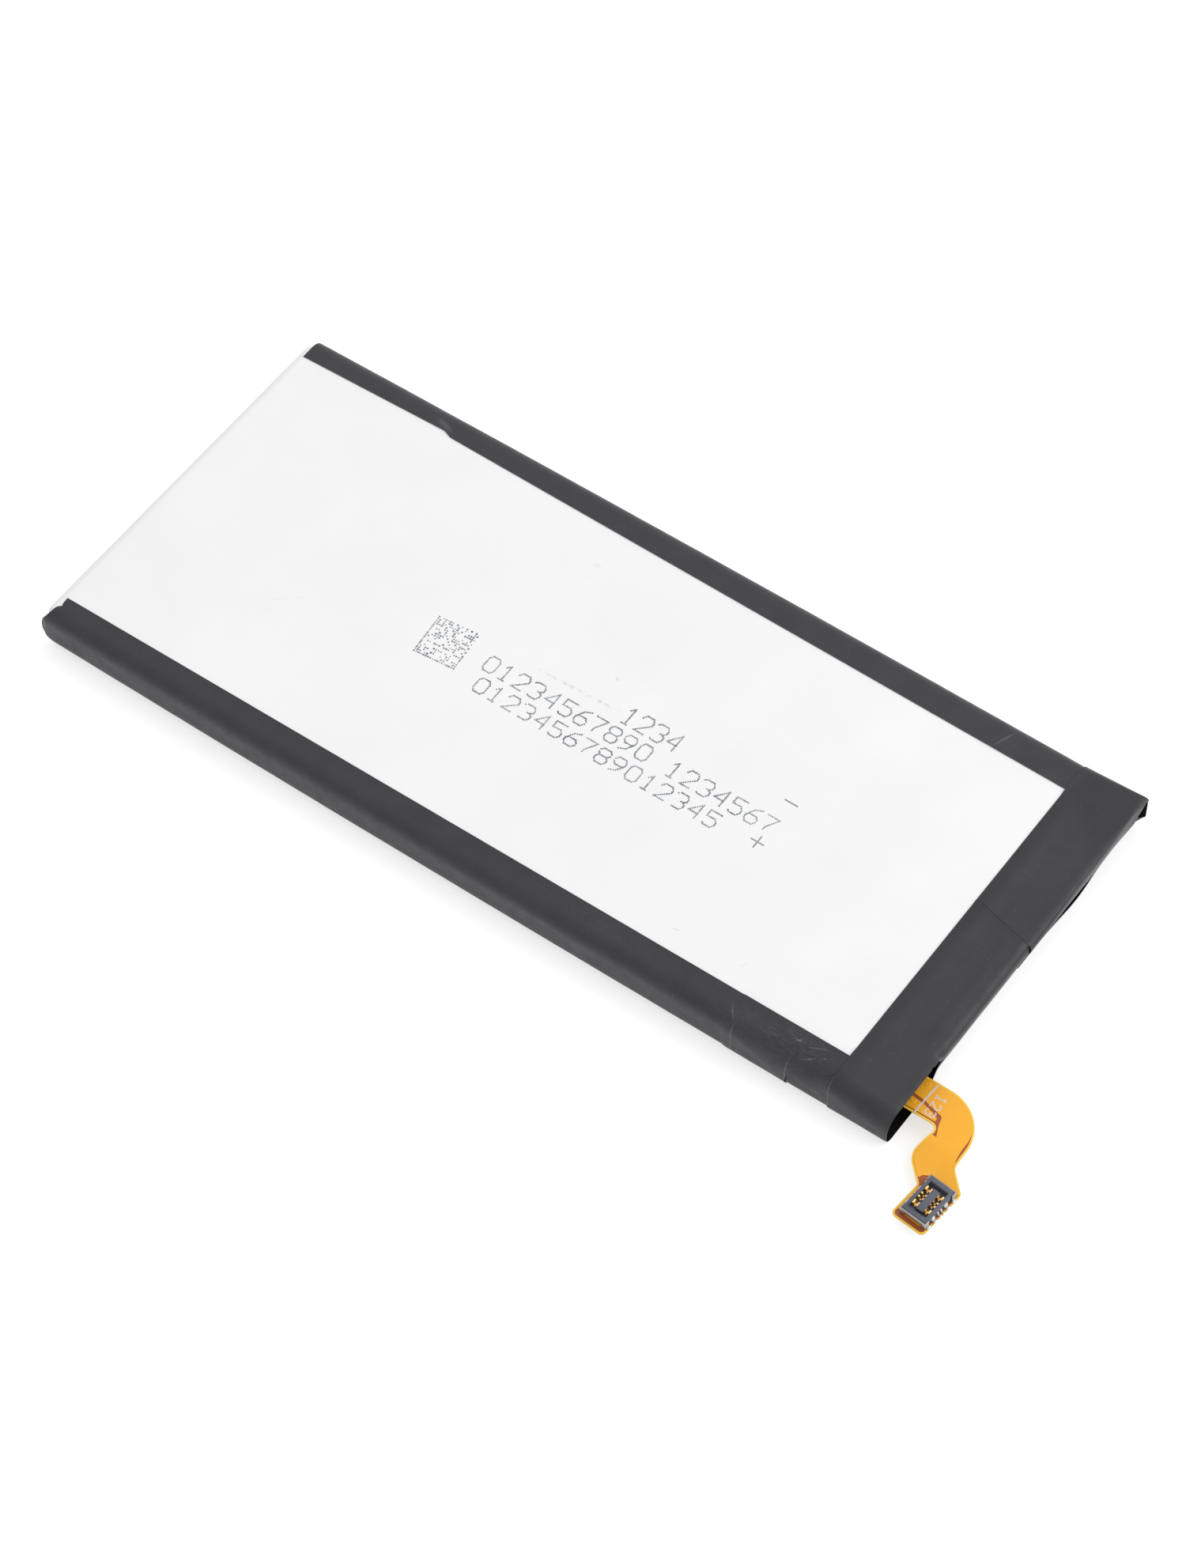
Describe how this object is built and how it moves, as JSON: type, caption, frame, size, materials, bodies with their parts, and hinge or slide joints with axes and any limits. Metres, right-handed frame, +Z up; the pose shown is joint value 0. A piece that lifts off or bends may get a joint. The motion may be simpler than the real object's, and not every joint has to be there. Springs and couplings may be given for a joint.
{
  "type": "mobile phone pouch battery",
  "caption": "Flat white lithium pouch cell with black taped long edges, a taped head over its protection board, and a short S-shaped flex tail ending in a small board connector.",
  "frame": {"origin": "centre of the pouch's flat back", "axes": "+X along the cell towards the taped head, +Y across it away from the flex tail, +Z up through the white face"},
  "size_m": [0.0984, 0.0455, 0.0048],
  "materials": {
    "pouch_laminate": "satin white, nylon-faced aluminium laminate",
    "film_tape": "dark grey film tape, satin",
    "aluminium_tab": "mill finish",
    "nickel_strip": "nickel, plain",
    "sealing_film": "translucent polymer seal",
    "fibreglass_board": "green solder resist",
    "moulded_epoxy": "matt black",
    "chip_ceramic": "matt tan",
    "insulating_paper": "matt grey",
    "polyimide": "glossy yellow film",
    "amber_copper": "copper foil under amber coverlay",
    "steel": "plain",
    "connector_plastic": "grey moulded polymer",
    "gold_plate": "gold-plated",
    "tin_plate": "bright tin"
  },
  "bodies": {
    "root": {"pouch_cell": "pouch_laminate", "near_side_tape": "film_tape", "far_side_tape": "film_tape", "corner_wrap": "film_tape", "head_tape_near": "film_tape", "head_tape_far": "film_tape", "head_inner_wrap": "film_tape", "positive_tab": "aluminium_tab", "negative_tab": "nickel_strip", "positive_tab_film": "sealing_film", "negative_tab_film": "sealing_film", "terrace_insulator": "insulating_paper", "circuit_board": "fibreglass_board", "cutoff_cell_lead": "nickel_strip", "cutoff_board_lead": "nickel_strip", "thermal_cutoff": "moulded_epoxy", "negative_weld_plate": "nickel_strip", "mosfet_pair": "moulded_epoxy", "protection_ic": "moulded_epoxy", "sense_resistor": "chip_ceramic", "filter_capacitor": "chip_ceramic", "bypass_capacitor": "chip_ceramic", "identity_resistor": "chip_ceramic", "board_cover_tape": "film_tape", "flex_film": "polyimide", "flex_far_plane": "amber_copper", "flex_near_plane": "amber_copper", "connector_stiffener": "steel", "connector_housing": "connector_plastic", "contact_back_1": "gold_plate", "contact_back_2": "gold_plate", "contact_back_3": "gold_plate", "contact_back_4": "gold_plate", "contact_front_1": "gold_plate", "contact_front_2": "gold_plate", "contact_front_3": "gold_plate", "contact_front_4": "gold_plate", "fitting_nail_near": "tin_plate", "fitting_nail_far": "tin_plate"}
  },
  "joints": []
}
